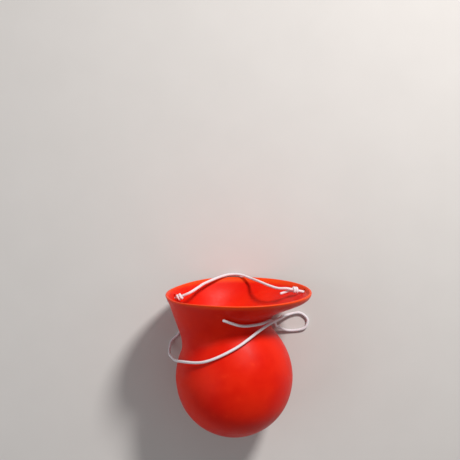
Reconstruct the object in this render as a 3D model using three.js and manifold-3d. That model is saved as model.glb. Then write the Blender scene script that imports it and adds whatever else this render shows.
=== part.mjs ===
// A squeaking clown nose of soft red vinyl, lying on its side on a table, with its white elastic cord.
// Millimetres, +Z up. The ball and the lowest point of the rim touch the table at z = 0, the opening points
// to +Y, and the middle of the nose's outline, seen from above, is at x = y = 0.
import * as THREE from "three";
import { mergeVertices } from "three/addons/utils/BufferGeometryUtils.js";
import Module from "manifold-3d";

const wasm = await Module();
wasm.setup();

// Ball
const BALL_DIAMETER = 56;

// Neck: the pinched ring between ball and collar, a leaning plane that crosses the nose's axis.
// Heights are measured along the axis from the ball's centre. Top and floor are the sides as the nose lies.
const NECK_WIDTH = 41.5;
const NECK_DEPTH = 41.2;
const NECK_SHIFT = -4;
const NECK_HEIGHT_LEFT = 15.6;
const NECK_HEIGHT_RIGHT = 27.1;
const NECK_HEIGHT_TOP = 24;

// Rim of the flared collar
const RIM_WIDTH = 69.2;
const RIM_DEPTH = 69;
const RIM_SHIFT = 1.9;
const RIM_HEIGHT = 42.8;
const RIM_DROOP = 1.4;
const LIP_ROUND = 0.4;

// Vinyl
const WALL = 1.5;
const SEPTUM_WALL = 1.5;
const FLOOR_FILLET = 1.2;

// Squeaker, a plug with an air hole
const SQUEAKER_STEM_DIAMETER = 11;
const SQUEAKER_STEM_LENGTH = 5;
const SQUEAKER_FLANGE_DIAMETER = 16;
const SQUEAKER_FLANGE_THICKNESS = 1.4;
const SQUEAKER_AIR_HOLE_DIAMETER = 2.6;

// Elastic cord, its knots and the holes that it goes through
const CORD_DIAMETER = 1.3;
const CORD_HOLE_DIAMETER = 2.6;
const KNOT_DIAMETER = 3.8;
const KNOT_LENGTH = 3.6;
const KNOT_TURNS = 3;
const KNOT_END_SHARE = 0.8;
const RIGHT_KNOT_FROM_END = 5.5;
const END_BEAD_DIAMETER = 3.4;
const END_BEAD_THICKNESS = 0.9;

// Gap between pieces that touch
const CLEARANCE = 0.3;

// The cord's route as it lies, from its melted end at the right hole to its free end at the neck.
const CORD_ROUTE = [
  [32.6, 31.37, 24.89],
  [28.1, 32.35, 25.9],
  [23.4, 33.3, 26.8],
  [19.4, 33.3, 25.3],
  [15.6, 34.2, 22.3],
  [10.8, 35.9, 15.6],
  [6.6, 37.1, 6.4],
  [1.2, 38.8, 1.5],
  [-4.6, 38.9, 1.5],
  [-16.2, 35.2, 13.4],
  [-19.6, 33.4, 22.4],
  [-23.2, 31.3, 26.6],
  [-27.0, 29.6, 25.9],
  [-31.6, 28.0, 24.2],
  [-33.9, 27.1, 19.5],
  [-32.4, 23.6, 4.4],
  [-28.0, 15.5, 1.05],
  [-29.6, 9.6, 1.05],
  [-33.5, 5.2, 1.15],
  [-34.4, 0.9, 4.6],
  [-32.1, -0.6, 20.0],
  [-26.6, 0.4, 42.2],
  [-14.9, 1.8, 53.2],
  [-1.7, 7.8, 54.4],
  [9.6, 15.4, 49.4],
  [15.3, 18.7, 45.0],
  [18.6, 19.5, 37.5],
  [21.2, 18.9, 20.0],
  [23.6, 18.4, 3.6],
  [31.4, 19.5, 1.05],
  [35.2, 16.2, 1.05],
  [33.9, 12.1, 1.05],
  [25.4, 10.7, 1.05],
  [19.9, 13.0, 4.4],
  [18.2, 15.2, 18.0],
  [17.2, 17.6, 33.0],
  [15.0, 19.3, 41.4],
  [10.2, 18.5, 49.2],
  [1.4, 18.2, 56.0],
  [-6.9, 21.1, 61.4],
];
const CORD_STEPS = 80;
const CORD_SIDES = 8;

// How finely the round forms are cut. Soft vinyl settles where it lies, so the ball has one facet there that
// is wider than the others and lies flat.
const SEGMENTS_AROUND = 48;
const REST_FACET_WIDTH_DEGREES = 16;
const REST_FACET_LENGTH_DEGREES = 8;
const RINGS_ON_BALL = 9;
const ROUND_SEGMENTS = 24;
const KNOT_SEGMENTS = 12;

// Rings between the ball's equator and the neck: how far each has risen and narrowed, as shares of the whole
// way.
const SHOULDER_ROWS = [
  { rise: 0.15, pull: 0.02 },
  { rise: 0.3, pull: 0.08 },
  { rise: 0.44, pull: 0.18 },
  { rise: 0.57, pull: 0.32 },
  { rise: 0.7, pull: 0.5 },
  { rise: 0.81, pull: 0.69 },
  { rise: 0.91, pull: 0.88 },
];

// Rings between the neck and the rim: the rise, and how far the left side, the right side and the depth have
// spread, as shares of the way from the neck to the rim. The left side is a long cone, the right a flange.
const COLLAR_ROWS = [
  { rise: 0.08, left: 0.0, right: 0.01, depth: 0.01 },
  { rise: 0.19, left: 0.06, right: 0.05, depth: 0.05 },
  { rise: 0.3, left: 0.17, right: 0.12, depth: 0.12 },
  { rise: 0.4, left: 0.28, right: 0.24, depth: 0.22 },
  { rise: 0.5, left: 0.39, right: 0.4, depth: 0.345 },
  { rise: 0.6, left: 0.5, right: 0.62, depth: 0.475 },
  { rise: 0.7, left: 0.61, right: 0.83, depth: 0.605 },
  { rise: 0.8, left: 0.71, right: 0.95, depth: 0.735 },
  { rise: 0.9, left: 0.83, right: 0.99, depth: 0.866 },
];

// The two ends of that way
const AT_NECK = { rise: 0, left: 0, right: 0, depth: 0 };
const AT_RIM = { rise: 1, left: 1, right: 1, depth: 1 };

// Where the cord's holes are punched: the turn about the axis from the right side towards the floor, and the
// rise from neck to rim.
const CORD_HOLES = {
  right: { turnDegrees: 16, rise: 0.84 },
  left: { turnDegrees: 164, rise: 0.82 },
};

const BALL_RADIUS = BALL_DIAMETER / 2;
const AXIS_UP = new THREE.Vector3(0, 0, 1);
const { lerp, degToRad } = THREE.MathUtils;

// The nose in its own frame: +Z from the ball's centre to the opening, +X to the right, +Y to the floor side.
// A ring of the skin is a flat ellipse, given by its reach to the left and right, its half depth, and its
// heights on the left, the right and the top side.
const equator = {
  leftReach: BALL_RADIUS,
  rightReach: BALL_RADIUS,
  halfDepth: BALL_RADIUS,
  leftHeight: 0,
  rightHeight: 0,
  topHeight: 0,
};
const neck = {
  leftReach: NECK_WIDTH / 2 - NECK_SHIFT,
  rightReach: NECK_WIDTH / 2 + NECK_SHIFT,
  halfDepth: NECK_DEPTH / 2,
  leftHeight: NECK_HEIGHT_LEFT,
  rightHeight: NECK_HEIGHT_RIGHT,
  topHeight: NECK_HEIGHT_TOP,
};
const rim = {
  leftReach: RIM_WIDTH / 2 - RIM_SHIFT,
  rightReach: RIM_WIDTH / 2 + RIM_SHIFT,
  halfDepth: RIM_DEPTH / 2,
  leftHeight: RIM_HEIGHT,
  rightHeight: RIM_HEIGHT,
  topHeight: RIM_HEIGHT,
};

// A ring on the way from one ring to another, each measure by its own share.
function ringBetween(from, to, share) {
  return {
    leftReach: lerp(from.leftReach, to.leftReach, share.left),
    rightReach: lerp(from.rightReach, to.rightReach, share.right),
    halfDepth: lerp(from.halfDepth, to.halfDepth, share.depth),
    leftHeight: lerp(from.leftHeight, to.leftHeight, share.rise),
    rightHeight: lerp(from.rightHeight, to.rightHeight, share.rise),
    topHeight: lerp(from.topHeight, to.topHeight, share.rise),
    droop: share.droop ?? 0,
  };
}

// The same ring drawn in all round by an inset, in its own plane, and lowered.
function ringInset(ring, inset, lowered = 0) {
  const middle = (ring.leftHeight + ring.rightHeight) / 2;
  const widthLeft = 1 - (2 * inset) / (ring.leftReach + ring.rightReach);
  const depthLeft = 1 - inset / ring.halfDepth;
  return {
    ...ring,
    leftReach: ring.leftReach - inset,
    rightReach: ring.rightReach - inset,
    halfDepth: ring.halfDepth - inset,
    leftHeight: lerp(middle, ring.leftHeight, widthLeft) - lowered,
    rightHeight: lerp(middle, ring.rightHeight, widthLeft) - lowered,
    topHeight: lerp(middle, ring.topHeight, depthLeft) - lowered,
  };
}

// The rim sags on its left side alone, smoothly and over less than half of its round.
function droopAt(angle) {
  const leftness = THREE.MathUtils.smoothstep(-Math.cos(angle), 0.2, 1);
  return RIM_DROOP * leftness;
}

function ringPoint(ring, angle) {
  const across = Math.cos(angle);
  const down = Math.sin(angle);
  const middle = (ring.leftHeight + ring.rightHeight) / 2;
  const height =
    middle + ((ring.rightHeight - ring.leftHeight) / 2) * across + (middle - ring.topHeight) * down;
  const shift = (ring.rightReach - ring.leftReach) / 2;
  const halfWidth = (ring.rightReach + ring.leftReach) / 2;
  return new THREE.Vector3(
    shift + halfWidth * across,
    ring.halfDepth * down,
    height - (ring.droop ?? 0) * droopAt(angle),
  );
}

// The nose leans back on its ball until the floor side of the rim comes down to the facet that the ball lies
// on.
const restFacetWidth = degToRad(REST_FACET_WIDTH_DEGREES);
const restFacetLength = degToRad(REST_FACET_LENGTH_DEGREES);
const rimEdgeHeight = RIM_HEIGHT - LIP_ROUND;
const restBelowEquator =
  Math.acos((BALL_RADIUS * Math.cos(restFacetLength / 2)) / Math.hypot(RIM_DEPTH / 2, rimEdgeHeight)) -
  Math.atan2(rimEdgeHeight, RIM_DEPTH / 2);
const restTilt = Math.atan(Math.tan(restBelowEquator) * Math.cos(restFacetWidth / 2));

// The skin is cut into equal facets round its axis, but for the wider one that it lies on.
const floorSide = Math.PI / 2;
const facetAngles = Array.from(
  { length: SEGMENTS_AROUND },
  (_, i) => floorSide + restFacetWidth / 2 + (i * (2 * Math.PI - restFacetWidth)) / (SEGMENTS_AROUND - 1),
);
const ringPoints = (ring) => facetAngles.map((angle) => ringPoint(ring, angle));

// The outer skin, ring by ring, from beside the ball's pole to the outer edge of the lip.
// The ball's last two rings are the ends of the facet that it lies on.
const facetStart = -restBelowEquator - restFacetLength / 2;
const ballAngles = Array.from({ length: RINGS_ON_BALL - 1 }, (_, i) =>
  lerp(-Math.PI / 2, facetStart, (i + 1) / (RINGS_ON_BALL - 1)),
);
const ballRings = [...ballAngles, facetStart + restFacetLength].map((angle) => {
  const reach = BALL_RADIUS * Math.cos(angle);
  const height = BALL_RADIUS * Math.sin(angle);
  return {
    leftReach: reach,
    rightReach: reach,
    halfDepth: reach,
    leftHeight: height,
    rightHeight: height,
    topHeight: height,
  };
});
const shoulderRings = SHOULDER_ROWS.map(({ rise, pull }) =>
  ringBetween(equator, neck, { rise, left: pull, right: pull, depth: pull }),
);
const collarRing = (row) => ringBetween(neck, rim, { ...row, droop: row.rise ** 2 });
const collarRings = COLLAR_ROWS.map(collarRing);
const rimEdge = { ...ringInset(rim, 0, LIP_ROUND), droop: 1 };
const chamberRings = [...ballRings, ...shoulderRings];
const cupRings = [neck, ...collarRings, rimEdge];
const outerSkin = [...chamberRings, ...cupRings].map(ringPoints);

// The skin's inner face, one wall inside the outer one along its normals.
function insideFace(skin, wall) {
  const last = skin.length - 1;
  return skin.map((ring, j) =>
    ring.map((point, k) => {
      const next = (k + 1) % ring.length;
      const previous = (k + ring.length - 1) % ring.length;
      const around = ring[next].clone().sub(ring[previous]);
      const along = skin[Math.min(j + 1, last)][k].clone().sub(skin[Math.max(j - 1, 0)][k]);
      const outward = around.cross(along).normalize();
      return point.clone().addScaledVector(outward, -wall);
    }),
  );
}
const innerSkin = insideFace(outerSkin, WALL);
const innerChamberSkin = innerSkin.slice(0, chamberRings.length);
// Inside, the collar ends one ring below the lip, whose own edges follow.
const innerCupSkin = innerSkin.slice(chamberRings.length, -1).reverse();

// A closed surface through rings of points, with a pole at each end.
function lofted(startPole, rings, endPole) {
  const count = rings[0].length;
  const vertices = [startPole, ...rings.flat(), endPole];
  const indices = [];
  for (let k = 0; k < count; k++) {
    const next = (k + 1) % count;
    indices.push(0, 1 + next, 1 + k);
    for (let j = 0; j < rings.length - 1; j++) {
      const lower = 1 + j * count;
      const upper = lower + count;
      indices.push(lower + k, lower + next, upper + next);
      indices.push(lower + k, upper + next, upper + k);
    }
    const lastRing = 1 + (rings.length - 1) * count;
    indices.push(lastRing + k, lastRing + next, vertices.length - 1);
  }
  const geometry = new THREE.BufferGeometry().setFromPoints(vertices);
  geometry.setIndex(indices);
  return geometry;
}

function toSolid(geometry, matrix = new THREE.Matrix4()) {
  const bare = geometry.clone().applyMatrix4(matrix);
  bare.deleteAttribute("normal");
  bare.deleteAttribute("uv");
  const merged = mergeVertices(bare, 1e-4);
  return new wasm.Manifold(
    new wasm.Mesh({
      numProp: 3,
      vertProperties: merged.attributes.position.array,
      triVerts: new Uint32Array(merged.index.array),
    }),
  );
}

function toGeometry(solid) {
  const { vertProperties, triVerts } = solid.getMesh();
  const geometry = new THREE.BufferGeometry();
  geometry.setAttribute("position", new THREE.BufferAttribute(vertProperties, 3));
  geometry.setIndex(new THREE.BufferAttribute(triVerts, 1));
  geometry.computeVertexNormals();
  return geometry;
}

// The wall between cup and chamber lies in the neck's leaning plane.
const septumRing = ringInset(neck, WALL + FLOOR_FILLET, FLOOR_FILLET);
const septumCentre = new THREE.Vector3(
  NECK_SHIFT,
  0,
  (septumRing.leftHeight + septumRing.rightHeight) / 2,
);
const septumNormal = new THREE.Vector3(
  -(NECK_HEIGHT_RIGHT - NECK_HEIGHT_LEFT) / NECK_WIDTH,
  -(NECK_HEIGHT_LEFT + NECK_HEIGHT_RIGHT - 2 * NECK_HEIGHT_TOP) / NECK_DEPTH,
  1,
).normalize();
const septumTurn = new THREE.Quaternion().setFromUnitVectors(AXIS_UP, septumNormal);
const septumFrame = new THREE.Matrix4().compose(septumCentre, septumTurn, new THREE.Vector3(1, 1, 1));

function roundCutter(diameter, length, frame) {
  const cylinder = new THREE.CylinderGeometry(diameter / 2, diameter / 2, length, ROUND_SEGMENTS);
  cylinder.rotateX(Math.PI / 2);
  return toSolid(cylinder, frame);
}

// The frame of a hole in the collar: its origin in the middle of the wall and +Z out of the skin.
function holeFrame({ turnDegrees, rise }) {
  const angle = degToRad(turnDegrees);
  const rows = [AT_NECK, ...COLLAR_ROWS, AT_RIM];
  const upper = rows.findIndex((row) => row.rise >= rise);
  const [lowerRow, upperRow] = [rows[upper - 1], rows[upper]];
  const upperRing = collarRing(upperRow);
  const below = ringPoint(collarRing(lowerRow), angle);
  const along = ringPoint(upperRing, angle).sub(below);
  const onSkin = below.addScaledVector(along, (rise - lowerRow.rise) / (upperRow.rise - lowerRow.rise));
  const step = degToRad(1);
  const around = ringPoint(upperRing, angle + step).sub(ringPoint(upperRing, angle - step));
  const outward = around.cross(along).normalize();
  const turn = new THREE.Quaternion().setFromUnitVectors(AXIS_UP, outward);
  const centre = onSkin.addScaledVector(outward, -WALL / 2);
  return new THREE.Matrix4().compose(centre, turn, new THREE.Vector3(1, 1, 1));
}

function noseShell() {
  const lipTop = [
    ringPoints({ ...ringInset(rim, LIP_ROUND), droop: 1 }),
    ringPoints({ ...ringInset(rim, WALL - LIP_ROUND), droop: 1 }),
  ];
  const outerPole = new THREE.Vector3(0, 0, -BALL_RADIUS);
  const innerPole = new THREE.Vector3(0, 0, -BALL_RADIUS + WALL);
  const cupFloor = ringPoints(septumRing);
  const chamberCeiling = ringPoints(ringInset(septumRing, 0, SEPTUM_WALL));
  const ceilingCentre = septumCentre.clone().addScaledVector(AXIS_UP, -SEPTUM_WALL);
  const body = toSolid(
    lofted(outerPole, [...outerSkin, ...lipTop, ...innerCupSkin, cupFloor], septumCentre),
  );
  const chamber = toSolid(lofted(innerPole, [...innerChamberSkin, chamberCeiling], ceilingCentre));
  const seatHole = roundCutter(
    SQUEAKER_STEM_DIAMETER + 2 * CLEARANCE,
    4 * SEPTUM_WALL,
    septumFrame,
  );
  const cordHoles = Object.values(CORD_HOLES).map((hole) =>
    roundCutter(CORD_HOLE_DIAMETER, 3 * WALL, holeFrame(hole)),
  );
  const hollow = body.subtract(chamber).subtract(seatHole);
  return toGeometry(cordHoles.reduce((solid, hole) => solid.subtract(hole), hollow));
}

// The flange rests on the cup's floor and the stem reaches through the seat hole into the chamber.
function squeakerPlug() {
  const airHole = SQUEAKER_AIR_HOLE_DIAMETER / 2;
  const stem = SQUEAKER_STEM_DIAMETER / 2;
  const flange = SQUEAKER_FLANGE_DIAMETER / 2;
  const flangeBottom = CLEARANCE;
  const flangeTop = flangeBottom + SQUEAKER_FLANGE_THICKNESS;
  const stemBottom = flangeBottom - SQUEAKER_STEM_LENGTH;
  const bevel = SQUEAKER_FLANGE_THICKNESS / 3;
  const profile = [
    [airHole, stemBottom],
    [stem, stemBottom],
    [stem, flangeBottom],
    [flange, flangeBottom],
    [flange, flangeTop - bevel],
    [flange - bevel, flangeTop],
    [airHole, flangeTop],
    [airHole, stemBottom],
  ].map(([radius, height]) => new THREE.Vector2(radius, height));
  const plug = new THREE.LatheGeometry(profile, ROUND_SEGMENTS);
  plug.rotateX(Math.PI / 2);
  return plug;
}

const cordRoute = CORD_ROUTE.map((point) => new THREE.Vector3(...point));
const cordPath = new THREE.CatmullRomCurve3(cordRoute, false, "centripetal");

function elasticCord() {
  const section = new THREE.Shape();
  for (let side = 0; side < CORD_SIDES; side++) {
    const angle = (2 * Math.PI * side) / CORD_SIDES;
    const x = (CORD_DIAMETER / 2) * Math.cos(angle);
    const y = (CORD_DIAMETER / 2) * Math.sin(angle);
    if (side === 0) section.moveTo(x, y);
    else section.lineTo(x, y);
  }
  return new THREE.ExtrudeGeometry(section, { steps: CORD_STEPS, extrudePath: cordPath });
}

// A stopper knot is a short barrel of wound cord, drawn as three rounded turns round a bore.
function stopperKnot() {
  const bore = CORD_DIAMETER / 2 + CLEARANCE;
  const turn = KNOT_LENGTH / KNOT_TURNS;
  const profile = [new THREE.Vector2(bore, -KNOT_LENGTH / 2)];
  for (let i = 0; i < KNOT_TURNS; i++) {
    const start = -KNOT_LENGTH / 2 + i * turn;
    const isEndTurn = i === 0 || i === KNOT_TURNS - 1;
    const crest = (KNOT_DIAMETER / 2) * (isEndTurn ? KNOT_END_SHARE : 1);
    const valley = crest - turn / 4;
    profile.push(new THREE.Vector2(valley, start + turn * 0.08));
    profile.push(new THREE.Vector2(crest, start + turn * 0.32));
    profile.push(new THREE.Vector2(crest, start + turn * 0.68));
    profile.push(new THREE.Vector2(valley, start + turn * 0.92));
  }
  profile.push(new THREE.Vector2(bore, KNOT_LENGTH / 2));
  profile.push(profile[0].clone());
  const knot = new THREE.LatheGeometry(profile, KNOT_SEGMENTS);
  knot.rotateX(Math.PI / 2);
  return knot;
}

// The cord's end is melted into a flat bead with round edges, too wide to slip back through its hole.
function meltedEnd() {
  const radius = END_BEAD_DIAMETER / 2;
  const half = END_BEAD_THICKNESS / 2;
  const edge = half / 2;
  const profile = [
    [0, -half],
    [radius - edge, -half],
    [radius, -edge],
    [radius, edge],
    [radius - edge, half],
    [0, half],
  ].map(([r, height]) => new THREE.Vector2(r, height));
  const bead = new THREE.LatheGeometry(profile, KNOT_SEGMENTS);
  bead.rotateX(Math.PI / 2);
  return bead;
}

const vinyl = new THREE.MeshStandardMaterial({ color: 0xd8301c, roughness: 0.42, metalness: 0 });
const elastic = new THREE.MeshStandardMaterial({ color: 0xf4eff2, roughness: 0.8, metalness: 0 });
const plastic = new THREE.MeshStandardMaterial({ color: 0xefece2, roughness: 0.35, metalness: 0 });

function named(name, geometry, material) {
  const mesh = new THREE.Mesh(geometry, material);
  mesh.name = name;
  return mesh;
}

const shell = named("nose_shell", noseShell(), vinyl);
const squeaker = named("squeaker", squeakerPlug(), plastic);
squeaker.position.copy(septumCentre);
squeaker.quaternion.copy(septumTurn);

const lying = new THREE.Group();
lying.add(shell, squeaker);
lying.rotation.x = restTilt - Math.PI / 2;
const outline = new THREE.Box3().setFromObject(lying, true);
const outlineMiddle = outline.getCenter(new THREE.Vector3());
lying.position.set(-outlineMiddle.x, -outlineMiddle.y, -outline.min.z);

// The left knot and the melted end stop at the collar's inner and outer face, each at its hole.
function placedAtHole(mesh, hole, seat) {
  mesh.applyMatrix4(holeFrame(hole).multiply(new THREE.Matrix4().makeTranslation(0, 0, seat)));
  return mesh;
}
const leftKnot = named("knot_left", stopperKnot(), elastic);
const endBead = named("cord_end_bead", meltedEnd(), elastic);
lying.add(placedAtHole(leftKnot, CORD_HOLES.left, -(WALL / 2 + CLEARANCE + KNOT_LENGTH / 2)));
lying.add(placedAtHole(endBead, CORD_HOLES.right, WALL / 2 + CLEARANCE + END_BEAD_THICKNESS / 2));

// The right knot is tied into the cord a short way from its end.
const rightKnot = named("knot_right", stopperKnot(), elastic);
const rightKnotShare = RIGHT_KNOT_FROM_END / cordPath.getLength();
rightKnot.position.copy(cordPath.getPointAt(rightKnotShare));
rightKnot.quaternion.setFromUnitVectors(AXIS_UP, cordPath.getTangentAt(rightKnotShare));

const clownNose = new THREE.Group();
clownNose.add(lying, rightKnot, named("elastic_cord", elasticCord(), elastic));

export default clownNose;
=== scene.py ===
"""A squeaking clown nose of soft red vinyl, lying on its side on a table with its white elastic cord.

Sizes are named in millimetres and become metres where meshes are made. The nose is modelled in its own frame,
whose origin is the ball's centre: +Z runs to the open collar, +X to the right and +Y to the floor side.
"""
import math
from typing import NamedTuple

import bmesh
import bpy
from mathutils import Matrix, Vector


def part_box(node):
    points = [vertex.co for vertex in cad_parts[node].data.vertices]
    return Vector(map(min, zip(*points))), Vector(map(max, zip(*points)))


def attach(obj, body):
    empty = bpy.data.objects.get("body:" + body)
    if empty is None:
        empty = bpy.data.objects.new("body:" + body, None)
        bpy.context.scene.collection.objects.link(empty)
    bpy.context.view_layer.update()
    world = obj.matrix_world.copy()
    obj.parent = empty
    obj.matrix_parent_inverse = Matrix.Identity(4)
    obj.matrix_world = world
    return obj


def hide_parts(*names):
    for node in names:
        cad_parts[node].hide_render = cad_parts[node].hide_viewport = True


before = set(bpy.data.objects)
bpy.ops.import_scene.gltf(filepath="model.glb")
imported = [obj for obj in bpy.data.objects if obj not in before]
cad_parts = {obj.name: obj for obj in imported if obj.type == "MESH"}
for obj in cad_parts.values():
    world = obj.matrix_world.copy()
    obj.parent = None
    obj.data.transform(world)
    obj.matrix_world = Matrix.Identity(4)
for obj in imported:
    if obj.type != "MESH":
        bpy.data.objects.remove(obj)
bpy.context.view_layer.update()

MM = 0.001

# Ball, neck and rim. A shift is how far a middle lies to the right of the ball's.
BALL_RADIUS = 28
NECK_WIDTH = 41.5
NECK_DEPTH = 41.2
NECK_SHIFT = -4
NECK_HEIGHT_LEFT = 15.6
NECK_HEIGHT_RIGHT = 27.1
NECK_HEIGHT_TOP = 24
RIM_WIDTH = 69.2
RIM_DEPTH = 69
RIM_SHIFT = 1.9
RIM_HEIGHT = 42.8
RIM_DROOP = 1.4
LIP_ROUND = 0.4
WALL = 1.5
SEPTUM_WALL = 1.5
FLOOR_FILLET = 1.2

# How far the soft ball flattens against the table, how wide a part of the lip's left end sags, and how far
# along the lip the sag runs out
SETTLED = 0.33
SAG_CORE = 3
SAG_REACH = 30

# Squeaker. The flange's edge rises by a share of its thickness, and its top reaches a share of its radius.
STEM_DIAMETER = 11
STEM_LENGTH = 5
FLANGE_DIAMETER = 16
FLANGE_THICKNESS = 1.4
FLANGE_EDGE_RISE = 0.8
FLANGE_TOP_REACH = 0.9
AIR_HOLE_DIAMETER = 2.6
GROOVE_DIAMETER = 9.2
GROOVE_DEPTH = 0.5
GROOVE_SLOPE = 0.4
NOZZLE_DIAMETER = 4.4
PLASTIC_EDGE_ROUND = 0.25
CLEARANCE = 0.3

# Cord, the holes for it and its melted end
CORD_DIAMETER = 1.3
CUT_TAIL_DIAMETER = 1.2
CORD_HOLE_DIAMETER = 2.6
PUNCH_LENGTH = 4 * WALL
END_BEAD_DIAMETER = 3.4
END_BEAD_THICKNESS = 0.9
END_BEAD_DIMPLE = 0.25
END_BEAD_DIMPLE_REACH = END_BEAD_DIAMETER / 3

# Knots: the winding's turns, its reach from the knot's axis, the share of that reach at its ends, and the
# turns in which it draws in to them
KNOT_TURNS = 1.8
KNOT_REACH = 1.1
KNOT_TUCK = 0.35
KNOT_TUCK_TURNS = 0.25

# Where the cord's holes are punched: the turn in degrees about the axis, from the right side towards the
# floor, and the rise from neck to rim, as a share
CORD_HOLES = {
    "right": {"turn": 16, "rise": 0.84},
    "left": {"turn": 164, "rise": 0.82},
}

# How finely the nose is cut, how often it is subdivided, and how far out the ring beside a pole lies
SEGMENTS = 32
BALL_RINGS = 6
SUBDIVISIONS = 2
POLE_REACH = 2.5

# How finely a cord is cut: its points' spacing, its sides, the angles of the rings in its round ends, how
# flat those ends are, a winding's steps in one turn, and the points on each side that give a knot its axis
CORD_SPACING = 0.4
CORD_SIDES = 12
CAP_DEGREES = (35, 65, 82)
END_FLATNESS = 0.5
STEPS_IN_A_TURN = 24
KNOT_AIM_STEPS = 3

# How finely the small round pieces are cut, and within what distance doubled points are merged
HOLE_SIDES = 32
PLUG_SIDES = 48
PLASTIC_EDGE_STEPS = 3
BEAD_SIDES = 24
BEAD_RINGS = 16
MERGE_DISTANCE = 0.01

# A vertex of the bead that is above this share of its height is the one at its pole
BEAD_POLE_SHARE = 0.999

# Faces that meet at less than this angle are shaded smooth
VINYL_SMOOTH_DEGREES = 40
PLASTIC_SMOOTH_DEGREES = 35

# The painted orange glow of light in the thin vinyl reaches this far down from the lip
LIP_PAINTED_GLOW_REACH = 3

# The braid's ribs: how many run along a stretch as long as the cord is thick, and how many run round it
RIBS_ALONG = 1.5
RIBS_AROUND = 5

# The ball's shoulder and the flaring collar, ring by ring: the height risen and the width gained, as shares
# of the whole way
SHOULDER_ROWS = (
    {"rise": 0.15, "pull": 0.02},
    {"rise": 0.3, "pull": 0.08},
    {"rise": 0.44, "pull": 0.18},
    {"rise": 0.57, "pull": 0.32},
    {"rise": 0.7, "pull": 0.5},
    {"rise": 0.81, "pull": 0.69},
    {"rise": 0.91, "pull": 0.88},
)
COLLAR_ROWS = (
    {"rise": 0.08, "left": 0.0, "right": 0.01, "depth": 0.01},
    {"rise": 0.19, "left": 0.06, "right": 0.05, "depth": 0.05},
    {"rise": 0.3, "left": 0.17, "right": 0.12, "depth": 0.12},
    {"rise": 0.4, "left": 0.28, "right": 0.24, "depth": 0.22},
    {"rise": 0.5, "left": 0.39, "right": 0.4, "depth": 0.345},
    {"rise": 0.6, "left": 0.5, "right": 0.62, "depth": 0.475},
    {"rise": 0.7, "left": 0.61, "right": 0.83, "depth": 0.605},
    {"rise": 0.8, "left": 0.71, "right": 0.95, "depth": 0.735},
    {"rise": 0.9, "left": 0.83, "right": 0.99, "depth": 0.866},
)

# The cord's route as it lies, from its melted end at the right hole to its free end at the neck
CORD_ROUTE = (
    (32.6, 31.37, 24.89),
    (28.1, 32.35, 25.9),
    (23.4, 33.3, 26.8),
    (19.4, 33.3, 25.3),
    (15.6, 34.2, 22.3),
    (10.8, 35.9, 15.6),
    (6.6, 37.1, 6.4),
    (1.2, 38.8, 1.5),
    (-4.6, 38.9, 1.5),
    (-16.2, 35.2, 13.4),
    (-19.6, 33.4, 22.4),
    (-23.2, 31.3, 26.6),
    (-27.0, 29.6, 25.9),
    (-31.6, 28.0, 24.2),
    (-33.9, 27.1, 19.5),
    (-32.4, 23.6, 4.4),
    (-28.0, 15.5, 1.05),
    (-29.6, 9.6, 1.05),
    (-33.5, 5.2, 1.15),
    (-34.4, 0.9, 4.6),
    (-32.1, -0.6, 20.0),
    (-26.6, 0.4, 42.2),
    (-14.9, 1.8, 53.2),
    (-1.7, 7.8, 54.4),
    (9.6, 15.4, 49.4),
    (15.3, 18.7, 45.0),
    (18.6, 19.5, 37.5),
    (21.2, 18.9, 20.0),
    (23.6, 18.4, 3.6),
    (31.4, 19.5, 1.05),
    (35.2, 16.2, 1.05),
    (33.9, 12.1, 1.05),
    (25.4, 10.7, 1.05),
    (19.9, 13.0, 4.4),
    (18.2, 15.2, 18.0),
    (17.2, 17.6, 33.0),
    (15.0, 19.3, 41.4),
    (10.2, 18.5, 49.2),
    (1.4, 18.2, 56.0),
    (-6.9, 21.1, 61.4),
)

# The short cut tail that sticks out of the right knot
CUT_TAIL = (
    (26.4, 32.2, 25.2),
    (24.4, 31.9, 25.2),
    (22.2, 31.4, 25.7),
    (20.3, 30.8, 26.3),
)

# Camera: above the nose as it lies, looking straight down
CAMERA_PLACE = (-3.95, 61.36, 500)
CAMERA_LENS = 77.3
CAMERA_SENSOR = 36
CAMERA_NEAR = 10
CAMERA_FAR = 10000

# The pale floor, which lies a hair below the nose
FLOOR_SIZE = 3000
FLOOR_DROP = 0.1

# Lights, all turned to the middle of the nose
LIGHTS = {
    "key": {"place": (225, 396, 418), "size": 105, "watts": 3.4, "colour": (1, 0.97, 0.94)},
    "fill": {"place": (-420, -60, 380), "size": 420, "watts": 0.5, "colour": (0.94, 0.97, 1)},
}
LIGHTS_AIM = (0, 0, 30)
STUDIO_BRIGHTNESS = 0.24

# Colours
CLOUD_DEEP_RED = (0.70, 0.008, 0.001, 1)
CLOUD_CLEAR_RED = (0.80, 0.017, 0.002, 1)
STREAK_RED = (0.90, 0.055, 0.012, 1)
# Painted light: the orange glow of the thin lip
LIP_PAINTED_GLOW_ORANGE = (0.93, 0.085, 0.008, 1)
# Painted shade: lilac in the grooves of the braid
ELASTIC_GROOVE_SHADE_LILAC = (0.62, 0.55, 0.64, 1)
ELASTIC_WHITE = (0.88, 0.86, 0.89, 1)
MELTED_YELLOW = (0.62, 0.56, 0.46, 1)
MELTED_WHITE = (0.80, 0.77, 0.72, 1)
PLASTIC_CREAM = (0.74, 0.71, 0.62, 1)
PLASTIC_WHITE = (0.84, 0.82, 0.75, 1)
FLOOR_GREY = (0.60, 0.58, 0.565, 1)
FLOOR_PALE_GREY = (0.64, 0.62, 0.605, 1)


def millimetres(*values):
    return Vector(values) * MM


def make_camera():
    data = bpy.data.cameras.new("camera")
    data.lens = CAMERA_LENS
    data.sensor_width = CAMERA_SENSOR
    data.clip_start = CAMERA_NEAR * MM
    data.clip_end = CAMERA_FAR * MM
    camera = bpy.data.objects.new("camera", data)
    camera.location = millimetres(*CAMERA_PLACE)
    bpy.context.scene.collection.objects.link(camera)
    bpy.context.scene.camera = camera


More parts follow.
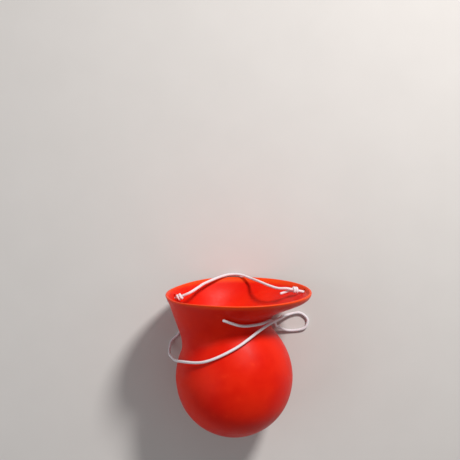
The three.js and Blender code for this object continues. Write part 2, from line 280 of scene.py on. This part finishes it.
def area_light(name, place, size, watts, colour):
    data = bpy.data.lights.new(name, "AREA")
    data.shape = "DISK"
    data.size = size * MM
    data.energy = watts
    data.color = colour
    light = bpy.data.objects.new(name, data)
    light.location = millimetres(*place)
    aim = millimetres(*LIGHTS_AIM) - light.location
    light.rotation_euler = aim.to_track_quat("-Z", "Y").to_euler()
    bpy.context.scene.collection.objects.link(light)


def make_lights():
    for name, light in LIGHTS.items():
        area_light(name, **light)
    world = bpy.data.worlds.new("studio")
    world.use_nodes = True
    background = world.node_tree.nodes["Background"]
    background.inputs["Color"].default_value = (1, 1, 1, 1)
    background.inputs["Strength"].default_value = STUDIO_BRIGHTNESS
    bpy.context.scene.world = world
    bpy.context.scene.view_settings.view_transform = "Standard"


# Materials
def feed(tree, socket, value):
    """Links a value of the tree to a socket, or sets the socket to a plain number, vector or colour."""
    if isinstance(value, Shade):
        tree.links.new(value.socket, socket)
    else:
        socket.default_value = value


def add_node(tree, kind, settings, inputs):
    """Adds a shader node of a kind, with its settings first and then its sockets, by name or number."""
    node = tree.nodes.new("ShaderNode" + kind)
    for setting, value in settings.items():
        setattr(node, setting, value)
    for socket, value in inputs.items():
        feed(tree, node.inputs[socket], value)
    return node


class Shade:
    """A socket of a node tree, whose operators add the Math nodes of an expression."""

    def __init__(self, tree, socket):
        self.tree = tree
        self.socket = socket

    def maths(self, operation, first, second):
        node = add_node(self.tree, "Math", {"operation": operation}, {0: first, 1: second})
        return Shade(self.tree, node.outputs[0])

    def __add__(self, other):
        return self.maths("ADD", self, other)

    def __radd__(self, other):
        return self.maths("ADD", other, self)

    def __sub__(self, other):
        return self.maths("SUBTRACT", self, other)

    def __rsub__(self, other):
        return self.maths("SUBTRACT", other, self)

    def __mul__(self, other):
        return self.maths("MULTIPLY", self, other)

    def __rmul__(self, other):
        return self.maths("MULTIPLY", other, self)

    def sine(self):
        return self.maths("SINE", self, 0)

    def larger(self, other):
        return self.maths("MAXIMUM", self, other)


class Finish:
    """A material under construction: its node tree, its Principled shader, and ways to add its nodes."""

    def __init__(self, name, constants):
        self.material = bpy.data.materials.new(name)
        self.material.use_nodes = True
        self.tree = self.material.node_tree
        self.shader = self.tree.nodes["Principled BSDF"]
        self.set_shader(constants)

    def set_shader(self, inputs):
        """Sets or links the shader's own sockets, and gives the material back."""
        for socket, value in inputs.items():
            feed(self.tree, self.shader.inputs[socket], value)
        return self.material

    def node(self, kind, settings, inputs, output):
        return Shade(self.tree, add_node(self.tree, kind, settings, inputs).outputs[output])

    def place(self):
        return self.node("TexCoord", {}, {}, "Object")

    def along_nose(self):
        """How far a point is from the ball's centre along the nose's axis, in metres."""
        seat = nose_placement()
        axis = seat.to_3x3() @ Vector((0, 0, 1))
        along = self.node("VectorMath", {"operation": "DOT_PRODUCT"}, {0: self.place(), 1: axis}, "Value")
        return along - axis.dot(seat.translation)

    def noise(self, scale, detail=2.0, roughness=0.5):
        """A noise from 0 to 1 whose features are 1/scale of a metre."""
        inputs = {"Vector": self.place(), "Scale": scale, "Detail": detail, "Roughness": roughness}
        return self.node("TexNoise", {}, inputs, "Fac")

    def band(self, value, low, high, start=0.0, end=1.0):
        """value, remapped smoothly from the range low..high to start..end."""
        inputs = {"Value": value, "From Min": low, "From Max": high, "To Min": start, "To Max": end}
        return self.node("MapRange", {"interpolation_type": "SMOOTHSTEP"}, inputs, "Result")

    def blend(self, share, first, second):
        """A colour between two, by a share."""
        return self.node("Mix", {"data_type": "RGBA"}, {0: share, 6: first, 7: second}, 2)

    def bump(self, height, distance, strength=1.0):
        inputs = {"Height": height, "Distance": distance, "Strength": strength}
        return self.node("Bump", {}, inputs, "Normal")


def vinyl_material():
    """Soft satin vinyl: cloudy red, with a painted orange glow of light towards the thin lip, and a fine
    moulded grain.
    """
    finish = Finish("red_vinyl", {
        "Specular IOR Level": 0.12,
        "Subsurface Weight": 0.1,
        "Subsurface Scale": 0.004,
        "Subsurface Radius": (1.0, 0.22, 0.12),
    })
    clouds = finish.noise(60, detail=3)
    streaks = finish.noise(240, detail=4, roughness=0.6)
    grain = finish.noise(2600, detail=3, roughness=0.6)
    waves = finish.noise(45, detail=1)
    # Painted light: an orange glow is painted into the colour over the last few millimetres below the lip
    glow_start = (RIM_HEIGHT - LIP_PAINTED_GLOW_REACH) * MM
    glow_end = (RIM_HEIGHT - 2 * LIP_ROUND) * MM
    lip = finish.band(finish.along_nose(), glow_start, glow_end)
    colour = finish.blend(finish.band(clouds, 0.35, 0.68), CLOUD_DEEP_RED, CLOUD_CLEAR_RED)
    colour = finish.blend(finish.band(streaks, 0.6, 0.8) * 0.25, colour, STREAK_RED)
    colour = finish.blend(lip * 0.7, colour, LIP_PAINTED_GLOW_ORANGE)
    return finish.set_shader({
        "Base Color": colour,
        "Roughness": finish.band(streaks * 0.6 + clouds * 0.4, 0.3, 0.7, 0.34, 0.5),
        "Normal": finish.bump(grain * 0.16 + waves, 0.0012, 0.35),
    })


def elastic_material():
    """Round braided elastic: two crossing sets of slanting ribs, white, with painted lilac shade in the
    grooves between them.
    """
    finish = Finish("white_elastic", {"Specular IOR Level": 0.3, "Sheen Weight": 0.25, "Roughness": 0.78})
    braid = finish.node("UVMap", {"uv_map": "braid"}, {}, "UV")
    along = finish.node("SeparateXYZ", {}, {0: braid}, "X") * (2 * math.pi * RIBS_ALONG)
    around = finish.node("SeparateXYZ", {}, {0: braid}, "Y") * (2 * math.pi * RIBS_AROUND)
    ribs = (along + around).sine().larger((along - around).sine()) * 0.5 + 0.5
    threads = finish.noise(9000)
    return finish.set_shader({
        # Painted shade: the grooves between the ribs are coloured a darker lilac
        "Base Color": finish.blend(finish.band(ribs, 0.2, 0.9), ELASTIC_GROOVE_SHADE_LILAC, ELASTIC_WHITE),
        "Normal": finish.bump(ribs + threads * 0.2, 0.00012, 0.8),
    })


def melted_material():
    """The cord's melted end: the same white gone waxy and yellowish."""
    finish = Finish("melted_elastic", {"Specular IOR Level": 0.5, "Roughness": 0.32})
    clouds = finish.noise(900)
    return finish.set_shader({
        "Base Color": finish.blend(clouds, MELTED_YELLOW, MELTED_WHITE),
        "Normal": finish.bump(clouds, 0.0002, 0.6),
    })


def plastic_material():
    """Cheap off-white moulded plastic with a faint grain."""
    finish = Finish("squeaker_plastic", {"Specular IOR Level": 0.5})
    clouds = finish.noise(300)
    grain = finish.noise(4000)
    return finish.set_shader({
        "Base Color": finish.blend(clouds, PLASTIC_CREAM, PLASTIC_WHITE),
        "Roughness": finish.band(grain, 0.3, 0.7, 0.3, 0.45),
        "Normal": finish.bump(grain, 0.00008, 0.5),
    })


def floor_material():
    finish = Finish("pale_floor", {"Specular IOR Level": 0.2, "Roughness": 0.7})
    speckle = finish.noise(40, detail=4)
    return finish.set_shader({"Base Color": finish.blend(speckle, FLOOR_GREY, FLOOR_PALE_GREY)})


def deselect():
    bpy.ops.object.select_all(action="DESELECT")


def make_floor():
    deselect()
    bpy.ops.mesh.primitive_plane_add(size=FLOOR_SIZE * MM, location=millimetres(0, 0, -FLOOR_DROP))
    floor = bpy.context.object
    floor.name = "floor"
    floor.data.materials.append(floor_material())


# Cord
def spline_points(points, spacing):
    """Points along the smooth centripetal curve through the given ones, about a spacing apart."""
    ends = [2 * points[0] - points[1], *points, 2 * points[-1] - points[-2]]
    line = []
    for before, start, end, after in zip(ends, ends[1:], ends[2:], ends[3:]):
        knots = [0.0]
        for a, b in ((before, start), (start, end), (end, after)):
            knots.append(knots[-1] + math.sqrt((b - a).length))
        count = max(2, round((end - start).length / spacing))
        for step in range(count):
            t = knots[1] + (knots[2] - knots[1]) * step / count
            line.append(blended_point((before, start, end, after), knots, t))
    return [*line, points[-1]]


def blended_point(corners, knots, t):
    """The point of one stretch of a centripetal curve, from its four corners."""
    def between(first, second, low, high):
        return first.lerp(second, (t - knots[low]) / (knots[high] - knots[low]))

    a = [between(corners[i], corners[i + 1], i, i + 1) for i in range(3)]
    b = [between(a[0], a[1], 0, 2), between(a[1], a[2], 1, 3)]
    return between(b[0], b[1], 1, 2)


def tangents(line):
    """The way that a line runs at each of its points."""
    ahead = [*line[1:], line[-1]]
    behind = [line[0], *line[:-1]]
    return [(after - before).normalized() for before, after in zip(behind, ahead)]


def with_round_ends(line, radius, flatness):
    """The line's points, each with its radius, and a rounded cap's points added at both ends."""
    rings = [(point, radius) for point in line]
    ways = tangents(line)
    for degrees in CAP_DEGREES:
        angle = math.radians(degrees)
        reach = flatness * radius * math.sin(angle)
        rings.insert(0, (line[0] - ways[0] * reach, radius * math.cos(angle)))
        rings.append((line[-1] + ways[-1] * reach, radius * math.cos(angle)))
    return rings


def make_tube(name, line, diameter, material):
    """A closed tube of elastic along a line. Its braid map counts widths along it and turns round it."""
    rings = with_round_ends(line, diameter / 2 * MM, END_FLATNESS)
    centres = [centre for centre, _ in rings]
    ways = tangents(centres)
    side_way = ways[0].orthogonal().normalized()
    vertices = []
    lengths = [0.0]
    for index, (centre, ring_radius) in enumerate(rings):
        if index:
            side_way = ways[index - 1].rotation_difference(ways[index]) @ side_way
            lengths.append(lengths[-1] + (centre - centres[index - 1]).length)
        for side in range(CORD_SIDES):
            turned = Matrix.Rotation(2 * math.pi * side / CORD_SIDES, 3, ways[index]) @ side_way
            vertices.append(centre + turned * ring_radius)
    faces = []
    braid = []
    for index in range(len(rings) - 1):
        low, high = index * CORD_SIDES, (index + 1) * CORD_SIDES
        start, end = (length / (diameter * MM) for length in lengths[index:index + 2])
        for side in range(CORD_SIDES):
            after = (side + 1) % CORD_SIDES
            faces.append((low + side, low + after, high + after, high + side))
            left, right = side / CORD_SIDES, (side + 1) / CORD_SIDES
            braid += [(start, left), (start, right), (end, right), (end, left)]
    last = (len(rings) - 1) * CORD_SIDES
    faces.append(tuple(reversed(range(CORD_SIDES))))
    faces.append(tuple(range(last, last + CORD_SIDES)))
    braid += [(0.0, 0.0)] * (2 * CORD_SIDES)
    mesh = bpy.data.meshes.new(name)
    mesh.from_pydata(vertices, [], faces)
    layer = mesh.uv_layers.new(name="braid")
    for loop, place in zip(layer.data, braid):
        loop.uv = place
    mesh.polygons.foreach_set("use_smooth", [True] * len(mesh.polygons))
    mesh.materials.append(material)
    tube = bpy.data.objects.new(name, mesh)
    bpy.context.scene.collection.objects.link(tube)
    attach(tube, "root")
    return tube


def knot_line(centre, axis):
    """A stopper knot's winding: turns round the axis, drawn in at both ends where the cord dives under."""
    side = axis.orthogonal().normalized()
    length = KNOT_TURNS * CORD_DIAMETER
    steps = round(KNOT_TURNS * STEPS_IN_A_TURN)
    line = []
    for step in range(steps + 1):
        share = step / steps
        turns_from_end = min(share, 1 - share) * KNOT_TURNS
        reach = KNOT_REACH * (KNOT_TUCK + (1 - KNOT_TUCK) * min(1, turns_from_end / KNOT_TUCK_TURNS))
        outward = Matrix.Rotation(2 * math.pi * KNOT_TURNS * share, 3, axis) @ side
        line.append(centre + (axis * (length * (share - 0.5)) + outward * reach) * MM)
    return line


# Nose
class Ring(NamedTuple):
    """A flat ellipse of the skin: its reach to the left and right, its half depth, and its sides' heights."""

    left: float
    right: float
    depth: float
    left_height: float
    right_height: float
    top_height: float

    @property
    def middle(self):
        return (self.left_height + self.right_height) / 2

    @property
    def centre(self):
        return millimetres((self.right - self.left) / 2, 0, self.middle)

    @property
    def tilt(self):
        """How far the ring's plane turns about X and about Y."""
        about_x = math.atan2(self.middle - self.top_height, self.depth)
        about_y = -math.atan2(self.right_height - self.left_height, self.left + self.right)
        return about_x, about_y

    @property
    def flat_size(self):
        """Its half width and half depth in its own plane."""
        about_x, about_y = self.tilt
        return (self.left + self.right) / 2 / math.cos(about_y), self.depth / math.cos(about_x)

    def point(self, angle):
        """A point of the ring, by its angle from the right side towards the floor."""
        across, down = math.cos(angle), math.sin(angle)
        height = (
            self.middle
            + (self.right_height - self.left_height) / 2 * across
            + (self.middle - self.top_height) * down
        )
        width = (self.left + self.right) / 2
        return self.centre + millimetres(width * across, self.depth * down, height - self.middle)


def level_ring(reach, height):
    return Ring(reach, reach, reach, height, height, height)


def ring_between(start, end, rise, left, right, depth):
    """A ring on the way from one to another, each measure by its own share."""
    shares = (left, right, depth, rise, rise, rise)
    return Ring(*(a + (b - a) * share for a, b, share in zip(start, end, shares)))


def ring_inset(ring, inset, lowered=0.0):
    """The ring drawn in all round in its own plane, and lowered."""
    width_left = 1 - 2 * inset / (ring.left + ring.right)
    depth_left = 1 - inset / ring.depth
    return Ring(
        ring.left - inset,
        ring.right - inset,
        ring.depth - inset,
        ring.middle + (ring.left_height - ring.middle) * width_left - lowered,
        ring.middle + (ring.right_height - ring.middle) * width_left - lowered,
        ring.middle + (ring.top_height - ring.middle) * depth_left - lowered,
    )


def walled_in(before, ring, after):
    """The ring of the inner face, one wall inside the skin, square to its slope on each side."""
    inner = {}
    for reach, height in (("left", "left_height"), ("right", "right_height"), ("depth", "top_height")):
        gained = getattr(after, reach) - getattr(before, reach)
        risen = getattr(after, height) - getattr(before, height)
        slope = math.hypot(gained, risen)
        inner[reach] = getattr(ring, reach) - WALL * risen / slope
        inner[height] = getattr(ring, height) + WALL * gained / slope
    return Ring(**inner)


equator = level_ring(BALL_RADIUS, 0)
neck = Ring(
    left=NECK_WIDTH / 2 - NECK_SHIFT,
    right=NECK_WIDTH / 2 + NECK_SHIFT,
    depth=NECK_DEPTH / 2,
    left_height=NECK_HEIGHT_LEFT,
    right_height=NECK_HEIGHT_RIGHT,
    top_height=NECK_HEIGHT_TOP,
)
rim = Ring(
    left=RIM_WIDTH / 2 - RIM_SHIFT,
    right=RIM_WIDTH / 2 + RIM_SHIFT,
    depth=RIM_DEPTH / 2,
    left_height=RIM_HEIGHT,
    right_height=RIM_HEIGHT,
    top_height=RIM_HEIGHT,
)


def skin_rings():
    """The outer skin's rings, from beside the ball's pole to the lip's outer edge, and the neck's number."""
    ball = []
    for number in range(1, BALL_RINGS):
        angle = math.radians(90 * number / BALL_RINGS - 90)
        ball.append(level_ring(BALL_RADIUS * math.cos(angle), BALL_RADIUS * math.sin(angle)))
    ball.insert(0, level_ring(POLE_REACH, -math.sqrt(BALL_RADIUS**2 - POLE_REACH**2)))
    shoulder = [
        ring_between(equator, neck, row["rise"], row["pull"], row["pull"], row["pull"])
        for row in SHOULDER_ROWS
    ]
    collar = [ring_between(neck, rim, **row) for row in COLLAR_ROWS]
    chamber = [*ball, equator, *shoulder]
    return [*chamber, neck, *collar, ring_inset(rim, 0, LIP_ROUND)], len(chamber)


def shell_rings():
    """Every ring of the closed shell in turn: up the skin, over the lip, down the cup, across its floor to
    the seat hole, through it, and down the chamber's inner face."""
    skin, neck_number = skin_rings()
    befores = [skin[0], *skin[:-1]]
    afters = [*skin[1:], skin[-1]]
    inner = [walled_in(*three) for three in zip(befores, skin, afters)]
    lip = [ring_inset(rim, LIP_ROUND), ring_inset(rim, WALL - LIP_ROUND)]
    floor = ring_inset(neck, WALL + FLOOR_FILLET, FLOOR_FILLET)
    seat = ring_inset(floor, floor.depth - STEM_DIAMETER / 2 - CLEARANCE)
    seat_land = ring_inset(floor, floor.depth - STEM_DIAMETER / 2 - 2 * CLEARANCE)
    middle_floor = ring_inset(floor, (floor.depth - STEM_DIAMETER / 2) / 2)
    cup = [*reversed(inner[neck_number + 1:-1]), ring_inset(neck, WALL), floor, middle_floor, seat_land, seat]
    underside = [ring_inset(ring, 0, SEPTUM_WALL) for ring in (seat, seat_land, middle_floor, floor)]
    return [*skin, *lip, *cup, *underside, *reversed(inner[:neck_number])]


def turn(angle, axis, centre):
    """Turns what is selected by the right-hand rule, which the operator does with the sign turned round."""
    bpy.ops.transform.rotate(value=-angle, orient_axis=axis, orient_type="GLOBAL", center_override=centre)


def reshape(old, new):
    """Moves the selected ring of vertices from one ring's place, size and tilt to another's."""
    old_about_x, old_about_y = old.tilt
    new_about_x, new_about_y = new.tilt
    turn(-old_about_x, "X", old.centre)
    turn(-old_about_y, "Y", old.centre)
    widening, deepening = (b / a for a, b in zip(old.flat_size, new.flat_size))
    bpy.ops.transform.resize(value=(widening, deepening, 1), center_override=old.centre)
    turn(new_about_y, "Y", old.centre)
    turn(new_about_x, "X", old.centre)
    bpy.ops.transform.translate(value=new.centre - old.centre)


def close_to_pole(ring, pole):
    """Closes the selected ring with a fan of faces to a pole on the axis."""
    bpy.ops.mesh.extrude_region_move()
    bpy.ops.transform.translate(value=pole - ring.centre)
    bpy.ops.mesh.merge(type="CENTER")


def select_vertices(mesh, chosen):
    """Selects the vertices that a test picks, in edit mode."""
    bpy.ops.mesh.select_all(action="DESELECT")
    edited = bmesh.from_edit_mesh(mesh)
    for vertex in edited.verts:
        if chosen(vertex):
            vertex.select = True
    edited.select_flush(True)
    bmesh.update_edit_mesh(mesh)


def apply_modifier(piece, kind, **settings):
    modifier = piece.modifiers.new(kind.lower(), kind)
    for setting, value in settings.items():
        setattr(modifier, setting, value)
    bpy.context.view_layer.objects.active = piece
    bpy.ops.object.modifier_apply(modifier=modifier.name)


def subdivide_smoothly(piece, levels):
    apply_modifier(piece, "SUBSURF", levels=levels, render_levels=levels)


def smooth(piece, degrees=None):
    deselect()
    piece.select_set(True)
    bpy.context.view_layer.objects.active = piece
    if degrees is None:
        bpy.ops.object.shade_smooth()
    else:
        bpy.ops.object.shade_smooth_by_angle(angle=math.radians(degrees))


def rest_tilt():
    """How far the nose leans back on its ball until the rim's floor side comes down to the same level."""
    lip_height = RIM_HEIGHT - LIP_ROUND
    reach = math.hypot(RIM_DEPTH / 2, lip_height)
    return math.acos(BALL_RADIUS / reach) - math.atan2(lip_height, RIM_DEPTH / 2)


def nose_placement():
    """From the nose's own frame to its place on the table."""
    low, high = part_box("nose_shell")
    ball_centre = Vector((
        (low.x + high.x) / 2 - RIM_SHIFT * MM,
        low.y + BALL_RADIUS * MM,
        (BALL_RADIUS - SETTLED) * MM,
    ))
    return Matrix.Translation(ball_centre) @ Matrix.Rotation(rest_tilt() - math.pi / 2, 4, "X")


def lay_down(piece, within=Matrix.Identity(4)):
    """Puts a piece of the nose in its place on the table, and its place into its mesh."""
    deselect()
    piece.select_set(True)
    bpy.context.view_layer.objects.active = piece
    piece.matrix_world = nose_placement() @ within
    bpy.ops.object.transform_apply(location=True, rotation=True, scale=True)


def hole_frame(hole):
    """A cord hole's place and way out of the skin, in the nose's frame."""
    rise = hole["rise"]
    at_neck = {"rise": 0, "left": 0, "right": 0, "depth": 0}
    at_rim = {"rise": 1, "left": 1, "right": 1, "depth": 1}
    rows = [at_neck, *COLLAR_ROWS, at_rim]
    upper = next(number for number, row in enumerate(rows) if row["rise"] >= rise)
    low, high = rows[upper - 1], rows[upper]
    angle = math.radians(hole["turn"])
    upper_ring = ring_between(neck, rim, **high)
    below = ring_between(neck, rim, **low).point(angle)
    along = upper_ring.point(angle) - below
    on_skin = below + along * (rise - low["rise"]) / (high["rise"] - low["rise"])
    around = upper_ring.point(angle + math.radians(1)) - upper_ring.point(angle - math.radians(1))
    outward = around.cross(along).normalized()
    return on_skin - outward * WALL / 2 * MM, outward


def punch_hole(shell, place, outward):
    """Cuts a round hole for the cord square through the wall."""
    deselect()
    bpy.ops.mesh.primitive_cylinder_add(
        vertices=HOLE_SIDES, radius=CORD_HOLE_DIAMETER / 2 * MM, depth=PUNCH_LENGTH * MM,
        location=place, rotation=outward.to_track_quat("Z", "Y").to_euler(),
    )
    punch = bpy.context.object
    apply_modifier(shell, "BOOLEAN", operation="DIFFERENCE", object=punch, solver="EXACT")
    bpy.data.objects.remove(punch, do_unlink=True)


def make_shell(material):
    """The vinyl nose: one closed skin drawn ring by ring, from the ball's pole over the lip and back in."""
    rings = shell_rings()
    first, last = rings[0], rings[-1]
    deselect()
    # Subdividing draws the corners of a ring in to this share, so the rings start that much wider
    shrinking = (2 + math.cos(2 * math.pi / SEGMENTS)) / 3
    bpy.ops.mesh.primitive_circle_add(vertices=SEGMENTS, radius=1, fill_type="NOTHING", location=(0, 0, 0))
    shell = bpy.context.object
    shell.name = "nose_skin"
    bpy.ops.object.mode_set(mode="EDIT")
    bpy.ops.mesh.select_mode(type="VERT")
    bpy.ops.mesh.select_all(action="SELECT")
    start_size = [size * MM / shrinking for size in first.flat_size]
    bpy.ops.transform.resize(value=(*start_size, 1), center_override=(0, 0, 0))
    bpy.ops.transform.translate(value=first.centre)
    for old, new in zip(rings, rings[1:]):
        bpy.ops.mesh.extrude_region_move()
        reshape(old, new)
    close_to_pole(last, millimetres(0, 0, WALL - BALL_RADIUS))
    select_vertices(shell.data, lambda vertex: vertex.index < SEGMENTS)
    close_to_pole(first, millimetres(0, 0, -BALL_RADIUS))
    bpy.ops.mesh.select_all(action="SELECT")
    bpy.ops.mesh.normals_make_consistent(inside=False)
    sag_lip(shell)
    bpy.ops.object.mode_set(mode="OBJECT")
    subdivide_smoothly(shell, SUBDIVISIONS)
    for hole in CORD_HOLES.values():
        punch_hole(shell, *hole_frame(hole))
    smooth(shell, VINYL_SMOOTH_DEGREES)
    lay_down(shell)
    settle(shell)
    shell.data.materials.append(material)
    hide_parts("nose_shell")
    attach(shell, "root")


def settle(shell):
    """Flattens the soft vinyl where it lies on the table."""
    bpy.ops.object.mode_set(mode="EDIT")
    select_vertices(shell.data, lambda vertex: vertex.co.z < 0)
    bpy.ops.transform.resize(value=(1, 1, 0), center_override=(0, 0, 0))
    bpy.ops.object.mode_set(mode="OBJECT")


def sag_lip(shell):
    """The lip's left side sags a little, and its neighbourhood with it."""
    left_end = -rim.left * MM
    near_lip = (RIM_HEIGHT - 2 * LIP_ROUND) * MM
    select_vertices(shell.data, lambda v: v.co.z > near_lip and v.co.x < left_end + SAG_CORE * MM)
    bpy.ops.transform.translate(
        value=millimetres(0, 0, -RIM_DROOP), use_proportional_edit=True,
        proportional_edit_falloff="SMOOTH", proportional_size=SAG_REACH * MM,
    )


# Squeaker
def make_squeaker(material):
    """A turned plug: a stem, a flange with a rolled edge, a raised ring and an air hole through it."""
    hole = AIR_HOLE_DIAMETER / 2
    stem = STEM_DIAMETER / 2
    flange = FLANGE_DIAMETER / 2
    top = FLANGE_THICKNESS
    profile = (
        {"radius": hole, "height": top},
        {"radius": hole, "height": -STEM_LENGTH},
        {"radius": stem, "height": -STEM_LENGTH},
        {"radius": stem, "height": 0},
        {"radius": flange, "height": 0},
        {"radius": flange, "height": FLANGE_EDGE_RISE * top},
        {"radius": FLANGE_TOP_REACH * flange, "height": top},
        {"radius": GROOVE_DIAMETER / 2, "height": top},
        {"radius": GROOVE_DIAMETER / 2 - GROOVE_SLOPE, "height": top - GROOVE_DEPTH},
        {"radius": NOZZLE_DIAMETER / 2 + GROOVE_SLOPE, "height": top - GROOVE_DEPTH},
        {"radius": NOZZLE_DIAMETER / 2, "height": top},
    )
    deselect()
    first = profile[0]
    bpy.ops.mesh.primitive_circle_add(
        vertices=PLUG_SIDES, radius=first["radius"] * MM, fill_type="NOTHING",
        location=(0, 0, first["height"] * MM),
    )
    squeaker = bpy.context.object
    squeaker.name = "squeaker_plug"
    bpy.ops.object.mode_set(mode="EDIT")
    bpy.ops.mesh.select_all(action="SELECT")
    for old, new in zip(profile, (*profile[1:], first)):
        bpy.ops.mesh.extrude_region_move()
        growing = new["radius"] / old["radius"]
        bpy.ops.transform.resize(value=(growing, growing, 1), center_override=(0, 0, old["height"] * MM))
        bpy.ops.transform.translate(value=(0, 0, (new["height"] - old["height"]) * MM))
    bpy.ops.mesh.select_all(action="SELECT")
    bpy.ops.mesh.remove_doubles(threshold=MERGE_DISTANCE * MM)
    bpy.ops.mesh.normals_make_consistent(inside=False)
    bpy.ops.object.mode_set(mode="OBJECT")
    apply_modifier(
        squeaker, "BEVEL", width=PLASTIC_EDGE_ROUND * MM, segments=PLASTIC_EDGE_STEPS, limit_method="ANGLE",
    )
    smooth(squeaker, PLASTIC_SMOOTH_DEGREES)
    floor = ring_inset(neck, WALL + FLOOR_FILLET, FLOOR_FILLET)
    about_x, about_y = floor.tilt
    lean = Matrix.Rotation(about_x, 4, "X") @ Matrix.Rotation(about_y, 4, "Y")
    seat = Matrix.Translation(floor.centre) @ lean @ Matrix.Translation((0, 0, CLEARANCE * MM))
    lay_down(squeaker, seat)
    squeaker.data.materials.append(material)
    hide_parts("squeaker")
    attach(squeaker, "root")


# Cord, knots and melted end
def box_middle(node):
    low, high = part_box(node)
    return (low + high) / 2


def make_knot(name, node, line, material):
    """A stopper knot, wound where the cord's line passes nearest to the middle of its solid."""
    middle = box_middle(node)
    nearest = min(range(len(line)), key=lambda number: (line[number] - middle).length)
    axis = (line[nearest + KNOT_AIM_STEPS] - line[nearest - KNOT_AIM_STEPS]).normalized()
    knot = make_tube(name, knot_line(line[nearest], axis), CORD_DIAMETER, material)
    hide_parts(node)
    return knot


def make_melted_end(material):
    """The cord's end, melted into a flat, dimpled, waxy bead against the collar outside the right hole."""
    deselect()
    bpy.ops.mesh.primitive_uv_sphere_add(
        segments=BEAD_SIDES, ring_count=BEAD_RINGS, radius=END_BEAD_DIAMETER / 2 * MM, location=(0, 0, 0)
    )
    bead = bpy.context.object
    bead.name = "melted_end"
    bpy.ops.object.mode_set(mode="EDIT")
    bpy.ops.transform.resize(value=(1, 1, END_BEAD_THICKNESS / END_BEAD_DIAMETER), center_override=(0, 0, 0))
    top = END_BEAD_THICKNESS / 2 * MM
    select_vertices(bead.data, lambda vertex: vertex.co.z > BEAD_POLE_SHARE * top)
    bpy.ops.transform.translate(
        value=millimetres(0, 0, -END_BEAD_DIMPLE), use_proportional_edit=True,
        proportional_edit_falloff="SMOOTH", proportional_size=END_BEAD_DIMPLE_REACH * MM,
    )
    bpy.ops.object.mode_set(mode="OBJECT")
    place, outward = hole_frame(CORD_HOLES["right"])
    seat = Matrix.Translation(place + outward * (WALL / 2 + CLEARANCE + END_BEAD_THICKNESS / 2) * MM)
    lay_down(bead, seat @ outward.to_track_quat("Z", "Y").to_matrix().to_4x4())
    smooth(bead)
    bead.data.materials.append(material)
    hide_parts("cord_end_bead")
    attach(bead, "root")
    return bead


def make_cord(material, melted):
    """The elastic cord with its knots, its cut tail and its melted end."""
    line = spline_points([millimetres(*point) for point in CORD_ROUTE], CORD_SPACING * MM)
    cord = make_tube("elastic", line, CORD_DIAMETER, material)
    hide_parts("elastic_cord")
    tail_line = spline_points([millimetres(*point) for point in CUT_TAIL], CORD_SPACING * MM)
    others = [
        make_knot("right_knot", "knot_right", line, material),
        make_knot("left_knot", "knot_left", line, material),
        make_tube("cut_tail", tail_line, CUT_TAIL_DIAMETER, material),
        make_melted_end(melted),
    ]
    length = sum((after - before).length for before, after in zip(line, line[1:]))


make_camera()
make_cord(elastic_material(), melted_material())
make_floor()
make_lights()
make_shell(vinyl_material())
make_squeaker(plastic_material())
